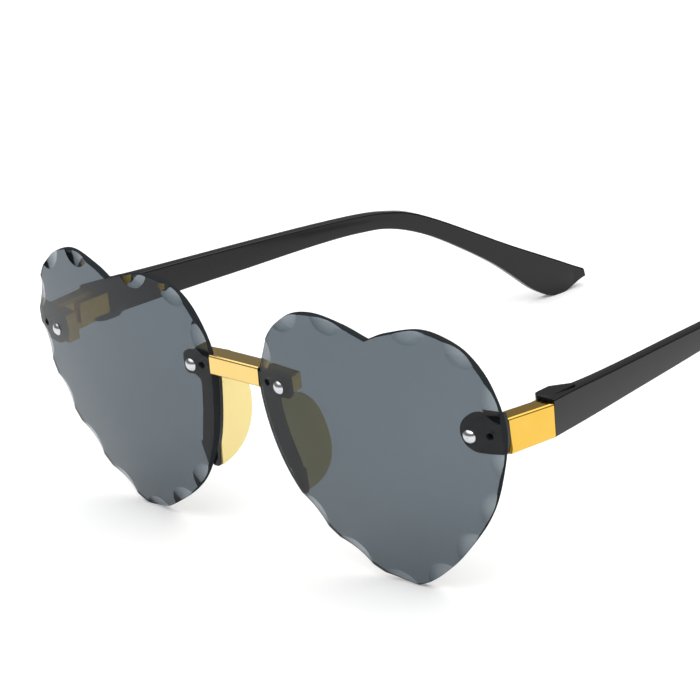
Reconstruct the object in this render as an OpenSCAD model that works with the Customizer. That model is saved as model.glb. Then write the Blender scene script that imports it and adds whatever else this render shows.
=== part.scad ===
// Heart shaped sunglasses, standing open on the lens tips and the temple tips.
// Millimetres, X to the wearer's left and right, Y from the lenses back to the temple tips, Z up.
// The right side here is the +X side. The left side is its mirror image.

/* [Lens] */
// Width of one lens
lens_w = 55.6; // [50:0.1:58]
// Height of one lens
lens_h = 54; // [48:0.5:60]
// Thickness of the lens
lens_t = 1.5; // [1.2:0.1:2]
// Radius of the lens's front face
lens_r = 160; // [120:5:240]
// How far the lens's middle stands from the middle of the glasses
lens_x = 34.4; // [33:0.1:36]
// How far the lens turns outwards
lens_wrap = 5.7; // [3:0.1:8]
// How far the lens's top leans forwards
lens_lean = 7.1; // [4:0.1:10]

/* [Ground edge] */
// Distance from one ground hollow to the next along the edge
hollow_pitch = 11.1; // [9:0.1:14]
// Number of hollows, which leaves the edge at the cleft plain
hollow_count = 15; // [9:2:15]
// How far the middle hollow lies from the tip, along the edge to the nose
hollow_shift = 1.8; // [0:0.1:3]
// Radius of the grinding wheel
hollow_r = 24; // [18:0.5:32]
// How far the wheel leans in from square to the lens
hollow_tilt = 74; // [66:1:78]
// Edge left whole behind each hollow
hollow_land = 0.95; // [0.7:0.05:1.1]
// First and last of the hollows left out behind the nose plate, counted up from the tip
plain_from = 3; // [2:1:7]
plain_to = 4; // [2:1:7]

/* [Rivets] */
// Radius of a rivet's shank
rivet_r = 0.65; // [0.5:0.05:0.8]
// Radius of a rivet's head
rivet_head_r = 1.35; // [1.1:0.05:1.6]
// Height of a rivet's head
rivet_head_h = 0.75; // [0.5:0.05:1]
// Length of shank held in the gold part behind the plate
rivet_bite = 2; // [1.2:0.1:2.4]
// Radius of a peg
peg_r = 0.65; // [0.5:0.05:0.8]
// How far a peg ends below the lens's front face
peg_drop = 0.3; // [0:0.05:0.8]

/* [Plates] */
// Thickness of the black plates behind the lens
plate_t = 0.8; // [0.6:0.1:1.2]
// Width of the plate's end at the nose
nose_plate_w = 5.4; // [4.6:0.1:6]
// Height of the plate's end at the nose
nose_plate_h = 4.7; // [4:0.1:5.4]
// Radius of that end's corners
nose_corner_r = 1.2; // [0.6:0.1:2]
// Radius of the plate's round end at the temple
end_plate_r = 3.9; // [3.4:0.05:4.4]
// How far that plate reaches in past the outer rivet
end_plate_in = 2.5; // [2:0.1:3.5]
// How far its middle stands above the outer rivet
end_plate_up = 0.3; // [0:0.05:0.6]

/* [Bridge] */
// Height of the bar
bar_h = 4; // [3.4:0.1:4.5]
// Thickness of the bar, front to back
bar_t = 4.4; // [3.4:0.1:5]
// How far the bar's front face stands ahead of the lens's middle
bar_ahead = 1.5; // [1:0.1:2]
// How far the bar's middle stands above the inner rivets
bar_up = 0.65; // [0.3:0.05:1]
// Height of the rib along the bar's back
rib_h = 2.2; // [1.6:0.1:2.4]
// Depth of the rib along the bar's back
rib_t = 1.2; // [0.8:0.1:1.6]
// Depth of the arms behind the nose plates
arm_t = 2.8; // [2.4:0.1:3.6]
// Height of the arms behind the nose plates
arm_h = 3.2; // [2.6:0.1:4]
// How far those arms run past their rivets
arm_past = 2.3; // [1.6:0.1:2.6]
// Radius of the bar's long edges
bar_edge_r = 0.5; // [0.2:0.1:0.8]

/* [Nose pads] */
// Length of a pad
pad_len = 19.2; // [17:0.1:21]
// How far a pad's upper end lies below the nose plate's end
pad_drop = 1.6; // [1:0.1:2.2]
// Depth of a pad
pad_depth = 8.9; // [7:0.1:10]
// Thickness of a pad
pad_t = 1.2; // [1:0.1:1.6]
// How far a pad's lower end leans outwards
pad_flare = 13.4; // [10:0.1:16]
// How far a pad's rear edge turns outwards
pad_splay = 4; // [0:0.5:8]

/* [End pieces] */
// Depth of the block behind the end plate
block_t = 2.6; // [2.4:0.1:3.4]
// Length of the block, in from the lens's outer edge
block_len = 8.3; // [7.6:0.1:9]
// Height of the block
block_h = 5.7; // [5:0.1:6.4]
// How far the block's middle lies below the outer rivet
block_drop = 0.5; // [0:0.1:0.8]
// Length of the gold arm
arm_len = 10.4; // [9:0.1:13]
// Thickness of the gold arm
arm_w = 4; // [3.6:0.1:4.4]
// Height of the gold arm at the lens
arm_front_h = 7; // [6.4:0.1:7.6]
// Height of the gold arm at the hinge
arm_rear_h = 6.7; // [6.2:0.1:7.2]
// How far the gold arm's middle falls to the rear
arm_pitch = 0.5; // [0:0.1:3]
// How far the arm's lower rear edge lies above the temple's
arm_above = 0.1; // [0:0.1:0.5]
// How far the gold arm turns outwards
arm_flare = 9; // [6:0.5:14]
// Radius of the gold arm's long edges
arm_edge_r = 0.5; // [0.2:0.1:0.8]

/* [Hinges] */
// How far the hinge stands in from the arm's outer face
hinge_in = 3.75; // [3.4:0.05:4]
// Radius of the hinge's knuckle and ears
knuckle_r = 1.8; // [1.5:0.1:2]
// Thickness of each ear
ear_t = 1.3; // [1.2:0.1:1.6]
// How far the knuckle's leaf runs forward along the arm
leaf_len = 5; // [3:0.1:7]
// Length of the hinge boss on the temple, behind the hinge
boss_len = 6.4; // [6:0.1:8]
// Radius of the hinge screw
screw_r = 0.6; // [0.5:0.05:0.7]
// Radius of the hinge screw's head
screw_head_r = 1.1; // [0.9:0.05:1.2]
// Height of the hinge screw's head
screw_head_h = 0.6; // [0.4:0.05:0.7]
// Width and depth of the slot in the screw's head
screw_slot = 0.3; // [0.2:0.05:0.35]

/* [Temples] */
// Length of a temple from the arm to its tip, measured straight
temple_len = 141.5; // [130:0.5:150]
// Height of the temple at the hinge
temple_h = 7.7; // [7.2:0.1:8.4]
// Thickness of the temple at the hinge
temple_root_t = 3.4; // [3:0.1:3.8]
// Thickness of the temple
temple_t = 2.4; // [2:0.1:2.8]
// How far the temple's lower edge at the hinge lies below the outer rivet
temple_drop = 4; // [3.6:0.1:4.4]
// Radius of the temple's long edges
temple_edge_r = 0.4; // [0.2:0.1:0.8]
// How far the open temples turn inwards
temple_splay = 6.3; // [4:0.1:8]

/* [Hidden] */
// Gap between pieces that are riveted together
seat = 0.05;
// Running gap of the hinge screw in the knuckle
hinge_run = 0.05;
// Gap between the hinge's faces that slide or meet
hinge_gap = 0.15;
// Gap round the swing of the knuckle and ears
swing_gap = 0.25;
// How far cuts run past the faces that they open
over = 1;
// Facets of small, of middling and of large rounds
$fn = 48;
arc_fn = 120;
ball_fn = 360;

// The heart from the cleft round by the temple side, as shares of half the lens's width and height
heart_shares = [
    [0.005, 0.880], [0.145, 0.940], [0.400, 1.000], [0.600, 0.965], [0.780, 0.860], [0.925, 0.650],
    [1.000, 0.335], [0.925, -0.035], [0.785, -0.350], [0.525, -0.680], [0.320, -0.875],
    [0.165, -0.970], [0.040, -1.000], [-0.130, -0.960], [-0.345, -0.840], [-0.555, -0.685],
    [-0.710, -0.520], [-0.855, -0.280], [-0.950, 0.000], [-1.000, 0.335], [-0.965, 0.575],
    [-0.840, 0.805], [-0.675, 0.935], [-0.455, 0.980], [-0.200, 0.945], [0.005, 0.880]
];
// Which of those points is the heart's tip, and the steps drawn along each span
heart_tip = 12;
span_steps = 5;

// Places of the rivets and pegs, as shares of half the lens's width and height
rivet_in_share = [-0.816, 0.385];
rivet_out_share = [0.759, 0.307];
peg_in_share = [-0.925, 0.400];
peg_out_share = [0.910, 0.322];

// The nose plate's strip and its foot, as shares of half the lens's width and height
strip_shares = [
    [-1.050, 0.400], [-0.840, 0.460], [-0.785, 0.315], [-0.850, 0.270], [-0.857, 0.230],
    [-0.820, 0.020], [-0.757, -0.200], [-0.748, -0.270], [-1.050, -0.270]
];
foot_shares = [
    [-0.855, -0.250], [-0.725, -0.250], [-0.735, -0.360], [-0.740, -0.425], [-0.762, -0.463],
    [-0.802, -0.463], [-0.826, -0.360]
];
// How full the pad's D is: 1 is half an ellipse, and less is squarer
pad_round_share = 0.82;
pad_steps = 40;

// Stations of the temple, from the hinge to the tip: its top edge and its lower edge, along as shares
// of its length and up as shares of its height at the hinge, then how far it has thinned. The table
// lies table_share below the lower edge at the hinge
table_share = 4.68;
temple_shares = [
    [-0.014, 0.975, -0.014, 0.020, 0.00], [0.005, 0.965, 0.005, 0.018, 0.00],
    [0.055, 0.925, 0.055, 0.000, 0.30], [0.109, 0.862, 0.109, -0.012, 0.75],
    [0.194, 0.777, 0.194, -0.018, 1.00], [0.294, 0.681, 0.294, -0.030, 1.00],
    [0.403, 0.564, 0.400, -0.030, 1.00], [0.483, 0.457, 0.477, -0.070, 1.00],
    [0.538, 0.352, 0.525, -0.150, 1.00], [0.580, 0.209, 0.563, -0.260, 1.00],
    [0.622, -0.020, 0.607, -0.550, 1.00], [0.677, -0.575, 0.660, -1.070, 1.00],
    [0.746, -1.385, 0.719, -1.820, 1.00], [0.818, -2.240, 0.786, -2.770, 1.00],
    [0.866, -2.780, 0.833, -3.570, 1.00], [0.902, -3.180, 0.865, -4.140, 1.00],
    [0.930, -3.490, 0.895, -4.540, 1.00], [0.950, -3.720, 0.915, -4.700, 1.00],
    [0.966, -3.900, 0.935, -4.700, 1.00], [0.980, -4.050, 0.952, -4.590, 1.00],
    [0.992, -4.190, 0.970, -4.440, 1.00], [1.000, -4.310, 0.987, -4.350, 1.00]
];
// Rings drawn between two stations, and steps round one corner of a ring
temple_steps = 3;
corner_steps = 4;

// Catmull-Rom blend of four points or numbers
function blend(a, b, c, d, t) =
    0.5 * (2 * b + (c - a) * t + (2 * a - 5 * b + 4 * c - d) * t * t + (3 * b - a - 3 * c + d) * t * t * t);

// An open curve through the points, drawn with so many steps to each span
function curve(p, steps) = [
    for (i = [0 : len(p) - 2])
        for (s = [0 : steps - 1])
            blend(
                i > 0 ? p[i - 1] : 2 * p[0] - p[1], p[i], p[i + 1],
                i < len(p) - 2 ? p[i + 2] : 2 * p[i + 1] - p[i], s / steps
            ),
    p[len(p) - 1]
];

// Points on one lens, from shares of half its width and height
function on_heart(shares) = [for (p = shares) [p[0] * lens_w / 2, p[1] * lens_h / 2]];

// Running length along a list of points
function lengths(p, i = 0, sum = 0) =
    i == len(p) - 1 ? [sum] : concat([sum], lengths(p, i + 1, sum + norm(p[i + 1] - p[i])));

rivet_in = on_heart([rivet_in_share])[0];
rivet_out = on_heart([rivet_out_share])[0];
peg_in = on_heart([peg_in_share])[0];
peg_out = on_heart([peg_out_share])[0];

heart_points = curve(on_heart(heart_shares), span_steps);
heart_lengths = lengths(heart_points);

// Number of the step that holds a length along the heart
function step_at(s) = max([for (i = [0 : len(heart_lengths) - 2]) if (heart_lengths[i] <= s) i]);
function heart_at(s) =
    let (i = step_at(s), t = (s - heart_lengths[i]) / (heart_lengths[i + 1] - heart_lengths[i]))
    heart_points[i] * (1 - t) + heart_points[i + 1] * t;
// Direction out of the heart, as an angle
function heart_out(s) =
    let (d = heart_points[step_at(s) + 1] - heart_points[step_at(s)])
    atan2(d[0], -d[1]);

// Distance of the lens's front face behind the plane through its middle
function sag(p) = lens_r - sqrt(lens_r * lens_r - p[0] * p[0] - p[1] * p[1]);

// The lens's lowest edge, which the middle hollow leaves at its back, stands on the table
tip_rise = hollow_r - sqrt(hollow_r * hollow_r - hollow_shift * hollow_shift);
tip_land = hollow_land + tip_rise / sin(hollow_tilt);
tip_depth = sag(heart_points[heart_tip * span_steps]) + lens_t - tip_land;
lens_z = -min([for (p = heart_points) p[1]]) * cos(lens_lean) - tip_depth * sin(lens_lean);

// A place so far behind the lens's front face, in the frame of the glasses
function behind_lens(p, depth) =
    let (
        z = -sag(p) - depth,
        y = -p[1] * sin(lens_lean) - z * cos(lens_lean),
        up = p[1] * cos(lens_lean) - z * sin(lens_lean)
    )
    [
        lens_x + p[0] * cos(lens_wrap) - y * sin(lens_wrap),
        p[0] * sin(lens_wrap) + y * cos(lens_wrap),
        lens_z + up
    ];

// Depths of the black plates and of the gold parts behind the lens's front face
plate_at = lens_t + seat;
gold_at = plate_at + plate_t + seat;

// The bar fills the gap between the lenses' inner edges
bar_half = behind_lens([-lens_w / 2, rivet_in[1]], 0)[0] - seat;
bar_z = behind_lens(rivet_in, gold_at)[2] + bar_up;

// The gold arm runs back from the end plate's outer edge, and its lower rear edge meets the temple's
arm_at = behind_lens([lens_w / 2, rivet_out[1]], gold_at);
temple_low = arm_at[2] - temple_drop;
arm_z = temple_low + arm_above + arm_rear_h / 2;
arm_end_x = arm_at[0] + arm_len * sin(arm_flare);
arm_end_y = arm_at[1] + arm_len * cos(arm_flare);
arm_taper = atan((arm_front_h - arm_rear_h) / 2 / arm_len);

// The hinge stands behind the arm, and its ears reach almost as high as the temple
hinge_x = arm_end_x - hinge_in;
hinge_y = arm_end_y + swing_gap + knuckle_r;
ears_low = temple_up(temple_shares[1][3]) + seat;
ears_top = temple_up(temple_shares[1][1]) - seat;
knuckle_low = ears_low + ear_t + hinge_gap;
knuckle_top = ears_top - ear_t - hinge_gap;
// What the corner of the knuckle's leaf sweeps as the temple folds
leaf_sweep = norm([knuckle_r, knuckle_r + swing_gap]) + hinge_gap;

temple_y = arm_end_y + hinge_gap;
temple_tip_y = temple_y + temple_len * cos(temple_splay);

// Middle of the whole depth, which stands at the origin
front_y = behind_lens(rivet_in, -rivet_head_h)[1];
depth_mid = (front_y + temple_tip_y) / 2;

// Puts one side's part in its place: 1 is the right side, -1 is the left
module on_side(side) {
    translate([0, -depth_mid, 0])
        if (side > 0) children();
        else mirror([1, 0, 0]) children();
}

// Frame of the right lens: X out to the temple, Y up the lens, Z out of its front face
module lens_frame() {
    translate([lens_x, 0, lens_z]) rotate([90 + lens_lean, 0, lens_wrap]) children();
}

// A place on the lens's front face, with Z square to the face
module on_lens(p) {
    turn = asin(p[0] / lens_r);
    translate([0, 0, -lens_r])
        rotate([0, turn, 0])
        rotate([-asin(p[1] / lens_r), 0, 0])
        translate([0, 0, lens_r])
        children();
}

// Everything that lies more than a depth behind the lens's front face
module ball(depth) {
    translate([0, 0, -lens_r]) rotate([90, 0, 0]) sphere(r = lens_r - depth, $fn = ball_fn);
}

// A sheet that follows the lens, from a 2-D outline
module curved_sheet(depth, t) {
    back = sag([lens_w / 2, lens_h / 2]) + depth + t + over;
    intersection() {
        translate([0, 0, -back]) linear_extrude(back + over) children();
        difference() {
            ball(depth);
            ball(depth + t);
        }
    }
}

// A round pin square to the lens, between two depths
module pin(p, r, from, to) {
    on_lens(p) translate([0, 0, -to]) cylinder(r = r, h = to - from);
}

// A rectangle with round corners
module rounded_box(w, h, r) {
    translate([r, 0]) square([w - 2 * r, h]);
    translate([0, r]) square([w, h - 2 * r]);
    for (x = [r, w - r])
        for (y = [r, h - r])
            translate([x, y]) circle(r = r);
}

// One hollow ground into the front edge, at a length along the heart
module hollow(s) {
    p = heart_at(s);
    translate([p[0], p[1], -sag(p) - lens_t + hollow_land])
        rotate([0, 0, heart_out(s)])
        rotate([0, -hollow_tilt, 0])
        translate([hollow_r, 0, -hollow_r])
        cylinder(r = hollow_r, h = 2 * hollow_r, $fn = arc_fn);
}

module lens() {
    middle = heart_lengths[heart_tip * span_steps] + hollow_shift;
    each_side = (hollow_count - 1) / 2;
    color([0.42, 0.46, 0.49, 0.6])
        lens_frame()
        difference() {
            curved_sheet(0, lens_t) polygon(heart_points);
            for (i = [-each_side : each_side])
                if (i < plain_from || i > plain_to) hollow(middle + i * hollow_pitch);
            for (p = [rivet_in, rivet_out]) pin(p, rivet_r + seat, -over, lens_t + over);
            for (p = [peg_in, peg_out]) pin(p, peg_r + seat, -over, lens_t + over);
        }
}

module rivet() {
    ball_r = (rivet_head_r * rivet_head_r + rivet_head_h * rivet_head_h) / (2 * rivet_head_h);
    intersection() {
        translate([0, 0, rivet_head_h - ball_r]) sphere(r = ball_r);
        translate([0, 0, seat]) cylinder(r = rivet_head_r, h = rivet_head_h);
    }
    translate([0, 0, -gold_at - rivet_bite])
        cylinder(r = rivet_r, h = gold_at + rivet_bite + rivet_head_h / 2);
}

module lens_rivets() {
    color("silver")
        lens_frame()
        for (p = [rivet_in, rivet_out]) on_lens(p) rivet();
}

// Black plate at the nose, with a strip down the lens's inner edge and a foot past its end
module nose_plate() {
    color([0.07, 0.07, 0.075])
        lens_frame() {
            difference() {
                curved_sheet(plate_at, plate_t) {
                    translate([rivet_in[0] - nose_plate_w / 2, rivet_in[1] - nose_plate_h / 2])
                        rounded_box(nose_plate_w, nose_plate_h, nose_corner_r);
                    intersection() {
                        polygon(heart_points);
                        polygon(on_heart(strip_shares));
                    }
                    polygon(on_heart(foot_shares));
                }
                pin(rivet_in, rivet_r + seat, -over, gold_at + over);
            }
            pin(peg_in, peg_r, peg_drop, plate_at + plate_t / 2);
        }
}

// Arm of the bridge behind one nose plate
module bridge_arm() {
    lens_frame()
        difference() {
            curved_sheet(gold_at, arm_t)
                translate([-lens_w / 2, rivet_in[1] - arm_h / 2])
                square([lens_w / 2 + rivet_in[0] + arm_past, arm_h]);
            pin(rivet_in, rivet_r + seat, 0, gold_at + rivet_bite + seat);
        }
}

// Room for the lens and its nose plate, ahead of the gold parts
module plate_room() {
    lens_frame()
        curved_sheet(0, gold_at)
        translate([-lens_w / 2 - seat, 0])
        square([lens_w / 2, lens_h / 2]);
}

// Gold bar between the lenses, with a rib along its back that joins the arms
module bridge() {
    rib_half = bar_half + bar_edge_r + bar_t / 2;
    color([0.95, 0.75, 0.33]) {
        difference() {
            union() {
                translate([-bar_half, -bar_ahead - depth_mid, bar_z - bar_h / 2])
                    rotate([90, 0, 90])
                    linear_extrude(2 * bar_half)
                    rounded_box(bar_t, bar_h, bar_edge_r);
                translate([-rib_half, bar_t / 2 - bar_ahead - depth_mid, bar_z - bar_h / 2 + bar_edge_r])
                    cube([2 * rib_half, bar_t / 2 + rib_t, rib_h]);
            }
            for (side = [-1, 1]) on_side(side) plate_room();
        }
        for (side = [-1, 1]) on_side(side) bridge_arm();
    }
}

// The D's round side, from its lower end to its upper one
function pad_edge() = [
    for (i = [0 : pad_steps])
        let (a = 180 * i / pad_steps - 90)
        [
            -pad_depth * pow(cos(a), pad_round_share),
            -pad_drop - pad_len / 2 + sign(a) * pad_len / 2 * pow(abs(sin(a)), pad_round_share)
        ]
];

// D-shaped pad that stands back from the nose plate's strip
module nose_pad() {
    top = [on_heart(strip_shares)[4][0] - pad_t * 2, rivet_in[1] - nose_plate_h / 2];
    color([0.98, 0.86, 0.5])
        lens_frame()
        intersection() {
            ball(gold_at);
            translate([top[0], top[1], -sag(top) - gold_at])
                rotate([0, 0, pad_flare])
                rotate([0, -lens_wrap - pad_splay, 0])
                rotate([0, -90, 0])
                linear_extrude(pad_t)
                polygon(concat(pad_edge(), [[pad_t, -pad_drop], [pad_t, -pad_drop - pad_len]]));
        }
}

// Black plate at the temple end of the lens
module end_plate() {
    round_at = [rivet_out[0] - end_plate_in + end_plate_r, rivet_out[1] + end_plate_up];
    color([0.07, 0.07, 0.075])
        lens_frame() {
            difference() {
                curved_sheet(plate_at, plate_t)
                    intersection() {
                        polygon(heart_points);
                        translate(round_at) {
                            circle(r = end_plate_r);
                            translate([0, -end_plate_r]) square([lens_w / 2, 2 * end_plate_r]);
                        }
                    }
                pin(rivet_out, rivet_r + seat, -over, gold_at + over);
            }
            pin(peg_out, peg_r, peg_drop, plate_at + plate_t / 2);
        }
}

// Half of the gold arm's wedge: a long box whose top face follows the arm's top
module arm_box() {
    reach = arm_len + 2 * block_t;
    translate([-arm_w, arm_len, arm_rear_h / 2])
        rotate([90 - arm_taper, 0, 0])
        translate([0, -2 * arm_front_h, -over])
        linear_extrude(reach)
        rounded_box(arm_w, 2 * arm_front_h, arm_edge_r);
}

// Gold end piece: a block behind the end plate, the arm, and the hinge's knuckle with its leaf
module end_piece() {
    block_at = [lens_w / 2 - block_len, rivet_out[1] - block_drop - block_h / 2];
    color([0.95, 0.75, 0.33])
        difference() {
            union() {
                lens_frame()
                    curved_sheet(gold_at, block_t)
                    translate(block_at)
                    square([block_len - arm_edge_r, block_h]);
                intersection() {
                    lens_frame() ball(gold_at);
                    translate([arm_at[0], arm_at[1], arm_z])
                        rotate([0, 0, -arm_flare])
                        translate([0, arm_len, 0])
                        rotate([-arm_pitch, 0, 0])
                        translate([0, -arm_len, 0])
                        intersection() {
                            arm_box();
                            mirror([0, 0, 1]) arm_box();
                        }
                    translate([0, -arm_len, 0]) cube([2 * arm_end_x, arm_end_y + arm_len, 2 * ears_top]);
                }
                translate([hinge_x, hinge_y, knuckle_low]) {
                    cylinder(r = knuckle_r, h = knuckle_top - knuckle_low);
                    translate([-knuckle_r, arm_end_y - hinge_y - leaf_len, 0])
                        cube([2 * knuckle_r, hinge_y - arm_end_y + leaf_len, knuckle_top - knuckle_low]);
                }
            }
            lens_frame() pin(rivet_out, rivet_r + seat, 0, gold_at + rivet_bite + seat);
            translate([hinge_x, hinge_y, 0]) cylinder(r = screw_r + hinge_run, h = 2 * ears_top);
        }
}

// Screw with its head sunk in the lower ear
module hinge_screw() {
    color("silver")
        translate([hinge_x, hinge_y, ears_low])
        difference() {
            union() {
                cylinder(r = screw_r, h = ears_top - ears_low - ear_t / 2);
                cylinder(r = screw_head_r, h = screw_head_h);
            }
            translate([-screw_slot / 2, -screw_head_r - over, -screw_slot])
                cube([screw_slot, 2 * (screw_head_r + over), 2 * screw_slot]);
        }
}

// Height of a place on the temple
function temple_up(share) =
    temple_low + share * (share < 0 ? temple_low / table_share : temple_h);

// One ring of the temple: an upright rectangle with round corners, between its top and lower edge
function temple_ring(s) =
    let (
        top = [s[0] * temple_len, temple_up(s[1])],
        low = [s[2] * temple_len, temple_up(s[3])],
        t = temple_root_t + (temple_t - temple_root_t) * s[4],
        h = norm(top - low),
        up = (top - low) / h,
        r = min(temple_edge_r, t / 2 - seat, h / 2 - seat)
    )
    [
        for (corner = [0 : 3])
            for (i = [0 : corner_steps])
                let (
                    a = 90 * (corner + i / corner_steps),
                    x = (corner == 0 || corner == 3 ? -r : r - t) + r * cos(a),
                    v = (corner < 2 ? h - r : r) + r * sin(a),
                    p = low + v * up
                )
                [x, p[0], p[1]]
    ];

// The temple's blade: its outer face lies in the plane X = 0
module temple_blade() {
    rings = [for (s = curve(temple_shares, temple_steps)) temple_ring(s)];
    n = len(rings[0]);
    last = len(rings) - 1;
    polyhedron(
        points = [for (ring = rings) each ring],
        faces = concat(
            [[for (i = [n - 1 : -1 : 0]) i]],
            [for (k = [0 : last - 1]) for (i = [0 : n - 1])
                [k * n + i, k * n + (i + 1) % n, (k + 1) * n + (i + 1) % n, (k + 1) * n + i]],
            [[for (i = [0 : n - 1]) last * n + i]]
        )
    );
}

// Boss on the temple's inner face, which the ears are cut from
module hinge_boss() {
    translate([hinge_x, hinge_y, ears_low])
        linear_extrude(ears_top - ears_low) {
            circle(r = knuckle_r);
            polygon([
                [-knuckle_r, 0], [knuckle_r, 0], [knuckle_r, boss_len],
                [knuckle_r - temple_t / 2, boss_len], [-knuckle_r, boss_len / 2]
            ]);
        }
}

// Room for the knuckle and its leaf, and for the leaf's corner as the temple folds
module knuckle_room() {
    room_r = knuckle_r + swing_gap;
    translate([hinge_x, hinge_y, knuckle_low - hinge_gap])
        linear_extrude(knuckle_top - knuckle_low + 2 * hinge_gap) {
            circle(r = room_r);
            translate([-leaf_sweep, -2 * room_r]) square([leaf_sweep + room_r, 2 * room_r]);
            intersection() {
                circle(r = leaf_sweep);
                translate([-leaf_sweep, -leaf_sweep]) square([leaf_sweep, 2 * leaf_sweep]);
            }
        }
}

module temple() {
    color([0.07, 0.07, 0.075])
        difference() {
            union() {
                translate([arm_end_x, temple_y, 0]) rotate([0, 0, temple_splay]) temple_blade();
                hinge_boss();
            }
            // The blade starts square, behind the arm's end
            cube([2 * arm_end_x, temple_y, 2 * ears_top]);
            knuckle_room();
            translate([hinge_x, hinge_y, 0]) cylinder(r = screw_r + seat, h = ears_top - ear_t / 2 + seat);
            translate([hinge_x, hinge_y, 0])
                cylinder(r = screw_head_r + seat, h = ears_low + screw_head_h + seat);
            // The tip stands on the table
            translate([0, temple_y + temple_len / 2, -temple_len])
                cube([2 * arm_end_x, temple_len, temple_len]);
        }
}

on_side(-1) lens();  // lens_left
on_side(1) lens();  // lens_right
on_side(-1) lens_rivets();  // lens_rivets_left
on_side(1) lens_rivets();  // lens_rivets_right
on_side(-1) nose_plate();  // nose_plate_left
on_side(1) nose_plate();  // nose_plate_right
bridge();
on_side(-1) nose_pad();  // nose_pad_left
on_side(1) nose_pad();  // nose_pad_right
on_side(-1) end_plate();  // end_plate_left
on_side(1) end_plate();  // end_plate_right
on_side(-1) end_piece();  // end_piece_left
on_side(1) end_piece();  // end_piece_right
on_side(-1) hinge_screw();  // hinge_screw_left
on_side(1) hinge_screw();  // hinge_screw_right
on_side(-1) temple();  // temple_left
on_side(1) temple();  // temple_right
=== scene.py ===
import math

import bmesh
import bpy
from mathutils import Matrix, Vector


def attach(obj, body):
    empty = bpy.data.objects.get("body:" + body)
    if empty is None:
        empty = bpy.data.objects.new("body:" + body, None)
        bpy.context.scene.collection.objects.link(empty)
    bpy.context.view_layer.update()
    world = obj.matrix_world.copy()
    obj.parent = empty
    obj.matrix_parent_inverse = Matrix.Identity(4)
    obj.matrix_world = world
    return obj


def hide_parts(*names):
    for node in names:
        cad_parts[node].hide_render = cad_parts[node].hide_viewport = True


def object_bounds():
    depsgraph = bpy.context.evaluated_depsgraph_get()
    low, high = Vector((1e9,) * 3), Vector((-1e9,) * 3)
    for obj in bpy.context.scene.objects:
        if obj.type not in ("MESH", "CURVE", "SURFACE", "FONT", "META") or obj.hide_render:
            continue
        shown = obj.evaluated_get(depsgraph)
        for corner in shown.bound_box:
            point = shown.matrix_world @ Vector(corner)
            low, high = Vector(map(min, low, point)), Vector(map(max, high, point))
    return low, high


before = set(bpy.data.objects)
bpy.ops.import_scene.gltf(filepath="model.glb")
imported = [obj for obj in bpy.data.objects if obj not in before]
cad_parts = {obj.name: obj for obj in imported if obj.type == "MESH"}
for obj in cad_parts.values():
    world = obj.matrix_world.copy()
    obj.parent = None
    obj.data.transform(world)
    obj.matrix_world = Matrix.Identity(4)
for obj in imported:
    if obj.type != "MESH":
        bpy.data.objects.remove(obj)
cadLow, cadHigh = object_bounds()
print("frame loaded")

mm = 0.001


# a new object in the scene
def addObject(name, data):
    item = bpy.data.objects.new(name, data)
    bpy.context.scene.collection.objects.link(item)
    return item


# camera, from lines fitted to the photograph: turns in degrees, lengths in mm

camera = dict(
    azimuth=45.0, height=19.8, roll=-4.9, target=(29.54, -77.35, 47.24), distance=585.9,
    lens=165.5, sensor=36, clipStart=10, clipEnd=20000
)


def addCamera():
    azimuth, height, roll = (math.radians(camera[key]) for key in ("azimuth", "height", "roll"))
    level = math.cos(height)
    back = Vector((math.sin(azimuth) * level, -math.cos(azimuth) * level, math.sin(height)))
    right = Vector((math.cos(azimuth), math.sin(azimuth), 0))
    up = back.cross(right)
    turned = right * math.cos(roll) + up * math.sin(roll)
    raised = up * math.cos(roll) - right * math.sin(roll)
    data = bpy.data.cameras.new("camera")
    data.lens = camera["lens"]
    data.sensor_width = camera["sensor"]
    data.clip_start = camera["clipStart"] * mm
    data.clip_end = camera["clipEnd"] * mm
    item = addObject("camera", data)
    place = (Vector(camera["target"]) + back * camera["distance"]) * mm
    turn = Matrix((turned, raised, back)).transposed().to_4x4()
    item.matrix_world = Matrix.Translation(place) @ turn
    bpy.context.scene.camera = item


# materials: colours are sRGB hex, patterns and relief have real sizes in mm

white = "#ffffff"
noiseLow, noiseHigh = 0.3, 0.7  # nearly all values of a noise lie between these


# sRGB hex to linear, with an alpha of 1
def linear(hexColour):
    shares = [int(hexColour[i:i + 2], 16) / 255 for i in (1, 3, 5)]
    return [c / 12.92 if c <= 0.04045 else ((c + 0.055) / 1.055) ** 2.4 for c in shares] + [1]


# adds a node: settings are its own values, inputs are numbers or the sockets that feed it
def addNode(tree, kind, inputs=None, **settings):
    node = tree.nodes.new(kind)
    for name, value in settings.items():
        setattr(node, name, value)
    for name, value in (inputs or {}).items():
        if isinstance(value, bpy.types.NodeSocket):
            tree.links.new(value, node.inputs[name])
        else:
            node.inputs[name].default_value = value
    return node


def newMaterial(name):
    material = bpy.data.materials.new(name)
    material.use_nodes = True
    material.node_tree.nodes.clear()
    return material, material.node_tree


# a cloudy pattern with features of this size, on the piece's own coordinates
def pattern(tree, size, detail, stretch=None):
    place = addNode(tree, "ShaderNodeTexCoord").outputs["Object"]
    if stretch:
        inputs = {"Vector": place, "Scale": stretch}
        place = addNode(tree, "ShaderNodeMapping", inputs).outputs["Vector"]
    inputs = {"Vector": place, "Scale": 1 / (size * mm), "Detail": detail}
    return addNode(tree, "ShaderNodeTexNoise", inputs).outputs["Fac"]


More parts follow.
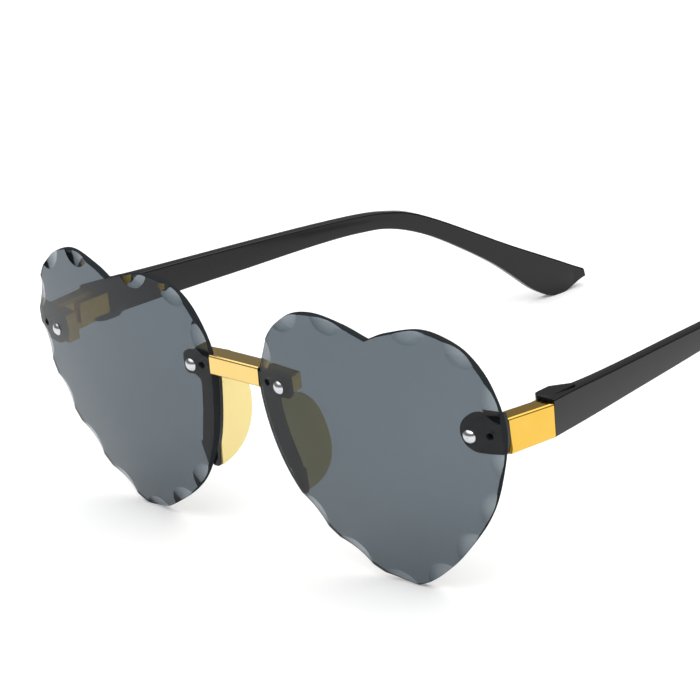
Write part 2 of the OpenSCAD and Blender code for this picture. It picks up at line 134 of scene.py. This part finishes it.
# the surface of a finish: its patterns vary its tone, its roughness and its relief. A Mix node's
# colours are its inputs 6 and 7 and its output 2
def surface(tree, look):
    patterns = {name: pattern(tree, **values) for name, values in look["patterns"].items()}
    name, dark, light = look["tone"]
    inputs = {0: patterns[name], 6: linear(dark), 7: linear(light)}
    tone = addNode(tree, "ShaderNodeMix", inputs, data_type="RGBA").outputs[2]
    sockets = {"Base Color": tone, **look["sockets"]}
    if "roughness" in look:
        name, low, high = look["roughness"]
        inputs = {
            "Value": patterns[name], "From Min": noiseLow, "From Max": noiseHigh,
            "To Min": low, "To Max": high
        }
        sockets["Roughness"] = addNode(tree, "ShaderNodeMapRange", inputs).outputs["Result"]
    if "relief" in look:
        name, depth = look["relief"]
        inputs = {"Height": patterns[name], "Distance": depth * mm}
        sockets["Normal"] = addNode(tree, "ShaderNodeBump", inputs).outputs["Normal"]
    return addNode(tree, "ShaderNodeBsdfPrincipled", sockets).outputs["BSDF"]


def newFinish(look):
    material, tree = newMaterial(look["name"])
    addNode(tree, "ShaderNodeOutputMaterial", {"Surface": surface(tree, look)})
    return material


# Grey acrylic, dyed by dipping, so that its skin is darker than its core: polished, with faint
# handling haze, and coated, which dims its reflections
tintedAcrylic = dict(
    name="grey_tinted_acrylic",
    patterns=dict(haze=dict(size=6, detail=4)),
    tone=("haze", "#b4b8ba", "#b9bcbe"),
    roughness=("haze", 0.0, 0.008),
    sockets={
        "IOR": 1.49, "Specular IOR Level": 0.3, "Specular Tint": linear("#cbcbce"),
        "Transmission Weight": 1.0
    },
    dye="#c3cbd0", dyeDensity=2000, shadow="#777e83"
)

# The same acrylic where the rim and holes were ground: matt and opaque. Its dark tone is painted
# shade, standing in for the dark line that the ground edge shows from inside the lens. The grit is
# drawn a little coarse, so that it shows
groundAcrylic = dict(
    name="ground_acrylic_rim",
    patterns=dict(grit=dict(size=0.15, detail=4)),
    # painted shade: the dark line along the lens's edge
    tone=("grit", "#232629", "#34383b"),
    roughness=("grit", 0.45, 0.6),
    relief=("grit", 0.004),
    sockets={"Specular IOR Level": 0.0}
)

# Black injection-moulded plastic, satin, with the faint flow marks and pores of a mould. The
# pores are drawn coarser than real ones, so that they show
blackPlastic = dict(
    name="black_moulded_plastic",
    patterns=dict(flow=dict(size=5, detail=2, stretch=(1, 0.3, 1)), pores=dict(size=0.5, detail=3)),
    tone=("flow", "#0b0b0c", "#121214"),
    roughness=("flow", 0.14, 0.22),
    relief=("pores", 0.002),
    sockets={"IOR": 1.41}
)

# Gold plating on brass, polished: a mirror that fine buffing marks soften, drawn coarse enough
# to show
goldPlating = dict(
    name="gold_plated_brass",
    patterns=dict(
        cloud=dict(size=4, detail=2), buffing=dict(size=0.25, detail=3, stretch=(1, 0.2, 1))
    ),
    tone=("cloud", "#f0c052", "#f4c85f"),
    roughness=("buffing", 0.1, 0.16),
    relief=("buffing", 0.0004),
    sockets={"Metallic": 1.0}
)

# The bridge's plating, which is paler
paleGoldPlating = dict(
    goldPlating, name="pale_gold_plated_brass", tone=("cloud", "#f5d282", "#f8d88c")
)

# Gold flashed on moulded plastic, paler and softer than the plated brass
goldPlastic = dict(
    name="gold_flashed_plastic",
    patterns=dict(cloud=dict(size=6, detail=2), pores=dict(size=0.3, detail=2)),
    tone=("cloud", "#ffe99d", "#ffeda7"),
    roughness=("cloud", 0.3, 0.36),
    relief=("pores", 0.0004),
    sockets={"Metallic": 0.8}
)

# Bright nickel-plated steel of the rivets and hinge screws, turned and polished, with the marks
# of turning drawn coarse enough to show
brightSteel = dict(
    name="nickel_plated_steel",
    patterns=dict(grain=dict(size=0.2, detail=3)),
    tone=("grain", "#d2d4d8", "#e6e8ea"),
    roughness=("grain", 0.14, 0.22),
    relief=("grain", 0.0005),
    sockets={"Metallic": 1.0}
)

# White paper of the sheet under the glasses: matt, with faint fibres
whitePaper = dict(
    name="white_paper_sweep",
    patterns=dict(fibre=dict(size=1.5, detail=4)),
    tone=("fibre", "#fafafa", "#fdfdfd"),
    sockets={"Roughness": 0.9}
)


def tintedLens():
    material, tree = newMaterial(tintedAcrylic["name"])
    glass = surface(tree, tintedAcrylic)
    # shadow rays go straight through with a tint, so that the lens's shadow is a light grey
    clear = addNode(tree, "ShaderNodeBsdfTransparent", {"Color": linear(tintedAcrylic["shadow"])})
    shadowRay = addNode(tree, "ShaderNodeLightPath").outputs["Is Shadow Ray"]
    mix = addNode(tree, "ShaderNodeMixShader", {0: shadowRay, 1: glass, 2: clear.outputs["BSDF"]})
    # the dye inside takes most light where the way through is long
    inputs = {"Color": linear(tintedAcrylic["dye"]), "Density": tintedAcrylic["dyeDensity"]}
    dye = addNode(tree, "ShaderNodeVolumeAbsorption", inputs).outputs["Volume"]
    inputs = {"Surface": mix.outputs["Shader"], "Volume": dye}
    addNode(tree, "ShaderNodeOutputMaterial", inputs)
    return material


# mesh helpers

# a new object from a bmesh, smooth but for edges sharper than the angle
def newPiece(name, mesh, material, sharp=30):
    bmesh.ops.recalc_face_normals(mesh, faces=mesh.faces)
    for face in mesh.faces:
        face.smooth = True
    for edge in mesh.edges:
        angle = edge.calc_face_angle(0)
        edge.smooth = len(edge.link_faces) == 2 and angle < math.radians(sharp)
    data = bpy.data.meshes.new(name)
    mesh.to_mesh(data)
    mesh.free()
    data.materials.append(material)
    return addObject(name, data)


# cuts one bmesh with others, in turn, and frees them all
def cut(mesh, tools):
    temporary = []
    for number, source in enumerate([mesh] + [tool for tool, _ in tools]):
        data = bpy.data.meshes.new("cut")
        bmesh.ops.recalc_face_normals(source, faces=source.faces)
        source.to_mesh(data)
        source.free()
        temporary.append(addObject(f"cut{number}", data))
    for item, (_, operation) in zip(temporary[1:], tools):
        step = temporary[0].modifiers.new("cut", "BOOLEAN")
        step.operation = operation
        step.solver = "EXACT"
        step.object = item
    depsgraph = bpy.context.evaluated_depsgraph_get()
    result = bmesh.new()
    result.from_mesh(temporary[0].evaluated_get(depsgraph).to_mesh())
    for item in temporary:
        data = item.data
        bpy.data.objects.remove(item)
        bpy.data.meshes.remove(data)
    return result


# lenses, in mm and degrees: shaped in a frame of their own, X out to the temple, Y up, Z forwards

lens = dict(
    halfWidth=27.8, halfHeight=27, radius=160,
    thick=1.47,  # a hair less than the solid's, so that the plates behind don't share its face
    x=34.4, z=26.4496, depthMid=77.7292, wrap=5.7, lean=7.1,
    hollowPitch=11.1, hollowCount=15, hollowShift=1.8,  # counted both ways from near the tip
    plainFrom=3, plainTo=4,  # hollows left out along the nose plate
    wheelRadius=14.5, wheelDepth=0.78, wheelSegments=72,
    wheelOut=1.9,  # how far off the edge the wheel cuts deepest
    rivetHole=0.7, holeLength=8, holeSegments=48,
    pegLeft=0.2,  # how far a plate's peg fills its hole
    steps=8, tip=12,  # steps to a span of the outline, and the point of heartShares at its tip
    sheetSize=32, sheetSegments=64, prismLow=-16, prismHeight=26,
    merge=0.002, sharp=20,
    rimTurn=0.35  # a face whose normal has less than this along Z belongs to the ground rim
)

# the outline's points, and the rivets' and pegs', as shares of half the width and height
heartShares = (
    (0.005, 0.880), (0.145, 0.940), (0.400, 1.000), (0.600, 0.965), (0.780, 0.860),
    (0.925, 0.650), (1.000, 0.335), (0.925, -0.035), (0.785, -0.350), (0.525, -0.680),
    (0.320, -0.875), (0.165, -0.970), (0.040, -1.000), (-0.130, -0.960), (-0.345, -0.840),
    (-0.555, -0.685), (-0.710, -0.520), (-0.855, -0.280), (-0.950, 0.000), (-1.000, 0.335),
    (-0.965, 0.575), (-0.840, 0.805), (-0.675, 0.935), (-0.455, 0.980), (-0.200, 0.945),
    (0.005, 0.880)
)
pinShares = dict(
    rivetIn=(-0.816, 0.385), rivetOut=(0.759, 0.307), pegIn=(-0.925, 0.400), pegOut=(0.910, 0.322)
)


def onHeart(share):
    return Vector((share[0] * lens["halfWidth"], share[1] * lens["halfHeight"]))


# how far the lens's front falls back at a place on it
def sag(p):
    return lens["radius"] - math.sqrt(lens["radius"] ** 2 - p[0] ** 2 - p[1] ** 2)


# a point between b and c of the smooth line through four points
def splineAt(a, b, c, d, t):
    slope = (c - a) * t
    bend = (2 * a - 5 * b + 4 * c - d) * t * t
    twist = (3 * b - a - 3 * c + d) * t ** 3
    return 0.5 * (2 * b + slope + bend + twist)


# an open curve through points, with so many steps to each span
def curve(points, steps):
    before = 2 * points[0] - points[1]
    after = 2 * points[-1] - points[-2]
    ends = [before] + list(points) + [after]
    spans = range(len(points) - 1)
    line = [splineAt(*ends[i:i + 4], step / steps) for i in spans for step in range(steps)]
    return line + [points[-1]]


heart = curve([onHeart(share) for share in heartShares], lens["steps"])
heartLengths = [0]
for first, second in zip(heart, heart[1:]):
    heartLengths.append(heartLengths[-1] + (second - first).length)


# place along the heart's edge and the direction out of it there
def heartAt(length):
    i = max(k for k in range(len(heart) - 1) if heartLengths[k] <= length)
    along = heart[i + 1] - heart[i]
    place = heart[i] + along * ((length - heartLengths[i]) / along.length)
    return place, math.atan2(along[0], -along[1])


# from a lens's own frame to the glasses', in metres
def lensFrame(side):
    wrap = Matrix.Rotation(math.radians(lens["wrap"]), 4, "Z")
    lean = Matrix.Rotation(math.radians(90 + lens["lean"]), 4, "X")
    place = Matrix.Translation((lens["x"], -lens["depthMid"], lens["z"]))
    mirror = Matrix.Diagonal((side, 1, 1, 1))
    return Matrix.Scale(mm, 4) @ mirror @ (place @ (wrap @ lean))


# square to the lens's front face at a place on it
def onLens(p):
    radius = lens["radius"]
    across = Matrix.Rotation(math.asin(p[0] / radius), 4, "Y")
    upward = Matrix.Rotation(-math.asin(p[1] / radius), 4, "X")
    centre = Matrix.Translation((0, 0, -radius))
    return centre @ (across @ upward) @ Matrix.Translation((0, 0, radius))


# two domes of one centre, a lens's thickness apart, wider than the heart
def lensSheet():
    sheet = bmesh.new()
    cells = lens["sheetSegments"]
    bmesh.ops.create_grid(sheet, x_segments=cells, y_segments=cells, size=lens["sheetSize"])
    for vertex in sheet.verts:
        vertex.co.z = -sag(vertex.co)
    extruded = bmesh.ops.extrude_face_region(sheet, geom=sheet.faces[:])
    centre = Vector((0, 0, -lens["radius"]))
    for item in extruded["geom"]:
        if isinstance(item, bmesh.types.BMVert):
            item.co = centre + (item.co - centre) * (1 - lens["thick"] / lens["radius"])
    return sheet


def heartPrism():
    prism = bmesh.new()
    corners = [prism.verts.new((p[0], p[1], lens["prismLow"])) for p in heart[:-1]]
    face = prism.faces.new(corners)
    extruded = bmesh.ops.extrude_face_region(prism, geom=[face])
    raised = [item for item in extruded["geom"] if isinstance(item, bmesh.types.BMVert)]
    bmesh.ops.translate(prism, verts=raised, vec=(0, 0, lens["prismHeight"]))
    return prism


# round hollows ground into the front of the edge, all but along the nose plate
def hollowTools():
    middle = heartLengths[lens["tip"] * lens["steps"]] + lens["hollowShift"]
    perSide = lens["hollowCount"] // 2
    radius = lens["wheelRadius"]
    rings = lens["wheelSegments"]
    tools = []
    for i in range(-perSide, perSide + 1):
        if lens["plainFrom"] <= i <= lens["plainTo"]:
            continue
        place, out = heartAt(middle + i * lens["hollowPitch"])
        centre = place + Vector((math.cos(out), math.sin(out))) * lens["wheelOut"]
        matrix = onLens(centre) @ Matrix.Translation((0, 0, radius - lens["wheelDepth"]))
        tool = bmesh.new()
        bmesh.ops.create_uvsphere(
            tool, u_segments=rings, v_segments=rings, radius=radius, matrix=matrix
        )
        tools.append(tool)
    return tools


# the holes for the rivets and the plates' pegs
def holeTools():
    radius = lens["rivetHole"]
    tools = []
    for share in pinShares.values():
        tool = bmesh.new()
        bmesh.ops.create_cone(
            tool, cap_ends=True, segments=lens["holeSegments"], radius1=radius, radius2=radius,
            depth=lens["holeLength"], matrix=onLens(onHeart(share))
        )
        tools.append(tool)
    return tools


def buildLens(name, side, material, edgeMaterial):
    tools = [(heartPrism(), "INTERSECT")]
    tools += [(tool, "DIFFERENCE") for tool in hollowTools() + holeTools()]
    mesh = cut(lensSheet(), tools)
    bmesh.ops.remove_doubles(mesh, verts=mesh.verts, dist=lens["merge"])
    mesh.normal_update()
    for face in mesh.faces:
        face.material_index = int(abs(face.normal.z) < lens["rimTurn"])
    bmesh.ops.transform(mesh, matrix=lensFrame(side), verts=mesh.verts)
    piece = newPiece(name, mesh, material, lens["sharp"])
    piece.data.materials.append(edgeMaterial)
    return piece


# carried-over CAD shapes, merged so that they shade smooth

cadPiece = dict(merge=2e-6, onPlane=1e-7)  # metres
temple = dict(tipEnd=77.3, tipSlope=12)  # mm and degrees


# takes the sharp corner off the far end of a temple
def bluntTip(mesh):
    slope = math.radians(temple["tipSlope"])
    end = temple["tipEnd"] * mm
    top = max(vertex.co.z for vertex in mesh.verts if vertex.co.y > end)
    bmesh.ops.bisect_plane(
        mesh, geom=mesh.verts[:] + mesh.edges[:] + mesh.faces[:], clear_outer=True,
        plane_co=(0, end, top), plane_no=(0, math.cos(slope), math.sin(slope)),
        dist=cadPiece["onPlane"]
    )
    rim = [edge for edge in mesh.edges if edge.is_boundary]
    bmesh.ops.contextual_create(mesh, geom=rim)


# lowers the end of a plate's peg into its hole in the lens
def sinkPeg(mesh, node):
    share = pinShares["pegIn" if node.startswith("nose") else "pegOut"]
    place = lensFrame(-1 if node.endswith("left") else 1) @ onLens(onHeart(share))
    end = lens["pegLeft"] - lens["thick"]
    for vertex in mesh.verts:
        local = place.inverted() @ vertex.co
        if math.hypot(local[0], local[1]) < lens["rivetHole"] and local[2] > end:
            local[2] = end
            vertex.co = place @ local


def cadCopy(node, material):
    mesh = bmesh.new()
    mesh.from_mesh(bpy.data.objects[node].data)
    bmesh.ops.remove_doubles(mesh, verts=mesh.verts, dist=cadPiece["merge"])
    if node.startswith("temple"):
        bluntTip(mesh)
    if "plate" in node:
        sinkPeg(mesh, node)
    return newPiece(f"{node}_form", mesh, material)


# stage, in metres: a dim room under a wide soft light overhead, and a white sheet below

studio = dict(
    dome=1.5, room=0.2, domeLow=0.5, domeHigh=0.72,  # light levels, and sines of the dome's edge
    floorSize=3, floorCells=4, backdrop=0.2,
    keyPlace=(0.9, -0.5, 1.3), keySize=1.0, keyPower=5
)


# 1 on a ray from the camera, straight or through a lens, and otherwise 0
def seenPlainly(tree):
    path = addNode(tree, "ShaderNodeLightPath")
    inputs = {0: path.outputs["Is Camera Ray"], 1: path.outputs["Is Transmission Ray"]}
    return addNode(tree, "ShaderNodeMath", inputs, operation="MAXIMUM").outputs["Value"]


def addWorld():
    world = bpy.data.worlds.new("studio")
    bpy.context.scene.world = world
    world.use_nodes = True
    tree = world.node_tree
    tree.nodes.clear()
    direction = addNode(tree, "ShaderNodeTexCoord").outputs["Generated"]
    height = addNode(tree, "ShaderNodeSeparateXYZ", {"Vector": direction}).outputs["Z"]
    inputs = {
        "Value": height, "From Min": studio["domeLow"], "From Max": studio["domeHigh"],
        "To Min": studio["room"], "To Max": studio["dome"]
    }
    dome = addNode(tree, "ShaderNodeMapRange", inputs, interpolation_type="SMOOTHSTEP")
    # at least white behind the glasses, seen straight or through a lens
    inputs = {0: dome.outputs["Result"], 1: seenPlainly(tree)}
    level = addNode(tree, "ShaderNodeMath", inputs, operation="MAXIMUM").outputs["Value"]
    light = addNode(tree, "ShaderNodeBackground", {"Color": linear(white), "Strength": level})
    addNode(tree, "ShaderNodeOutputWorld", {"Surface": light.outputs["Background"]})


def addFloor():
    material, tree = newMaterial(whitePaper["name"])
    paper = surface(tree, whitePaper)
    # seen straight or through a lens, the sheet adds some of the backdrop's white to its own
    inputs = {0: seenPlainly(tree), 1: studio["backdrop"]}
    level = addNode(tree, "ShaderNodeMath", inputs, operation="MULTIPLY").outputs["Value"]
    glow = addNode(tree, "ShaderNodeEmission", {"Color": linear(white), "Strength": level})
    both = addNode(tree, "ShaderNodeAddShader", {0: paper, 1: glow.outputs["Emission"]})
    addNode(tree, "ShaderNodeOutputMaterial", {"Surface": both.outputs["Shader"]})
    mesh = bmesh.new()
    cells = studio["floorCells"]
    bmesh.ops.create_grid(mesh, x_segments=cells, y_segments=cells, size=studio["floorSize"])
    bmesh.ops.translate(mesh, verts=mesh.verts, vec=(0, 0, cadLow[2]))
    floor = newPiece("floor", mesh, material)


def addKeyLight():
    data = bpy.data.lights.new("key", "AREA")
    data.shape = "SQUARE"
    data.size = studio["keySize"]
    data.energy = studio["keyPower"]
    item = addObject("key", data)
    place = Vector(studio["keyPlace"])
    item.location = place
    item.rotation_euler = (-place).to_track_quat("-Z", "Y").to_euler()


def main():
    addCamera()
    addWorld()
    addFloor()
    addKeyLight()
    print("camera and stage")
    acrylic = tintedLens()
    rim = newFinish(groundAcrylic)
    for side, name in ((-1, "left"), (1, "right")):
        piece = buildLens(f"lens_{name}_ground", side, acrylic, rim)
        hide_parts(f"lens_{name}")
        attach(piece, "front")
    print("lenses")
    black = newFinish(blackPlastic)
    steel = newFinish(brightSteel)
    finishes = {
        "nose_plate": (black, "black_plastic"),
        "end_plate": (black, "black_plastic"),
        "temple": (black, "black_plastic"),
        "bridge": (newFinish(paleGoldPlating), "gold_metal"),
        "end_piece": (newFinish(goldPlating), "gold_metal"),
        "nose_pad": (newFinish(goldPlastic), "gold_plastic"),
        "lens_rivets": (steel, "rivet_steel"),
        "hinge_screw": (steel, "screw_steel")
    }
    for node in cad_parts:
        kind = node.replace("_left", "").replace("_right", "")
        if kind not in finishes:
            continue
        material, slot = finishes[kind]
        piece = cadCopy(node, material)
        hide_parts(node)
        arm = "temple_left_arm" if node.endswith("left") else "temple_right_arm"
        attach(piece, arm if kind in ("temple", "hinge_screw") else "front")
    print("frame pieces")
    bpy.context.scene.view_settings.view_transform = "Standard"


main()
